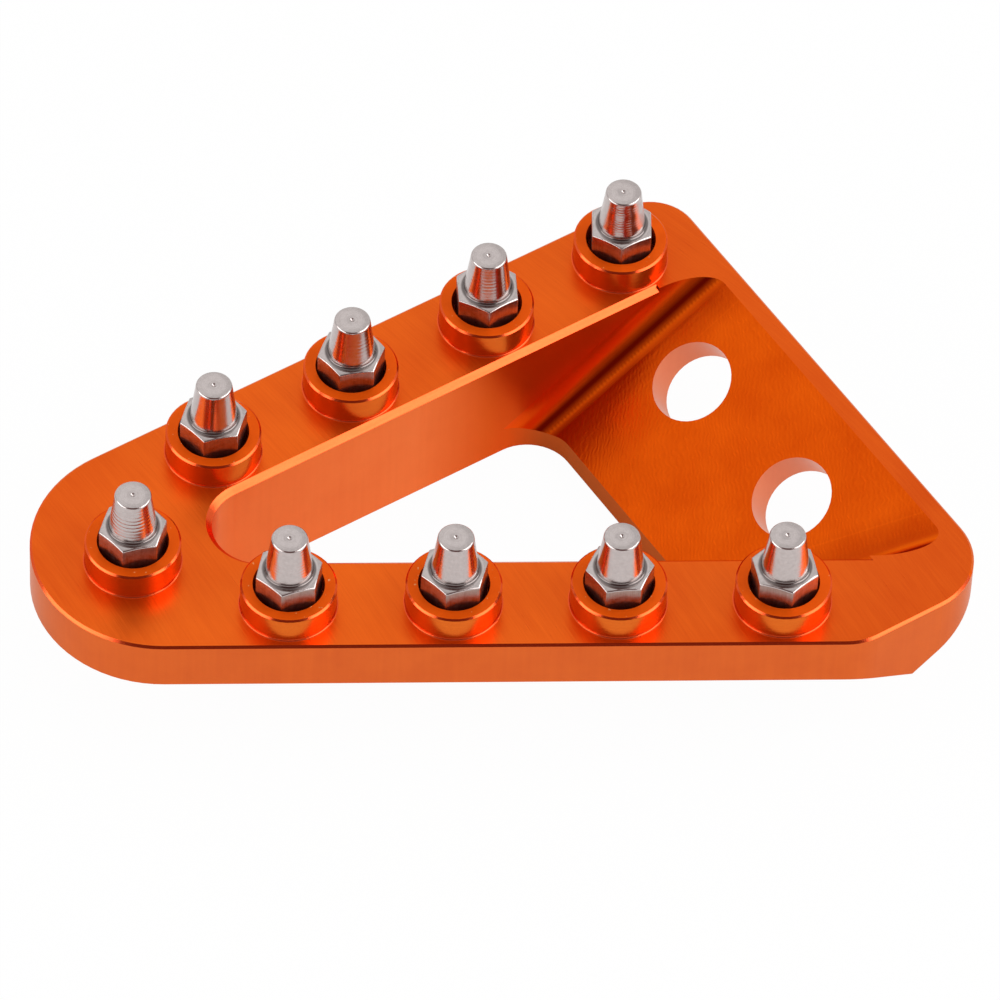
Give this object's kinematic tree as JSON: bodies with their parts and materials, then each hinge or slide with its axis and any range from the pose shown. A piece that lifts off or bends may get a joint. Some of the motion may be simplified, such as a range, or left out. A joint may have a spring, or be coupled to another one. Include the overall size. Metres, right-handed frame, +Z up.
{
  "type": "brake pedal extension",
  "caption": "Wedge-shaped foot plate with a triangular window and conical grip studs in round bosses, and a sloped flange that bolts to the end of a brake pedal.",
  "frame": {"origin": "middle of the plate's plan outline, on its flat underside", "axes": "+X along the front row of studs from the round nose to the wide end, +Y from the front row to the far row, +Z up out of the tread face"},
  "size_m": [0.0782, 0.0488, 0.0201],
  "materials": {
    "anodised_plate": "satin orange anodised over fine machining marks",
    "stud_steel": "turned, bright satin"
  },
  "bodies": {
    "root": {"pedal_plate": "anodised_plate", "stud_nose": "stud_steel", "stud_front_1": "stud_steel", "stud_front_2": "stud_steel", "stud_front_3": "stud_steel", "stud_front_4": "stud_steel", "stud_far_1": "stud_steel", "stud_far_2": "stud_steel", "stud_far_3": "stud_steel", "stud_far_4": "stud_steel"}
  },
  "joints": []
}
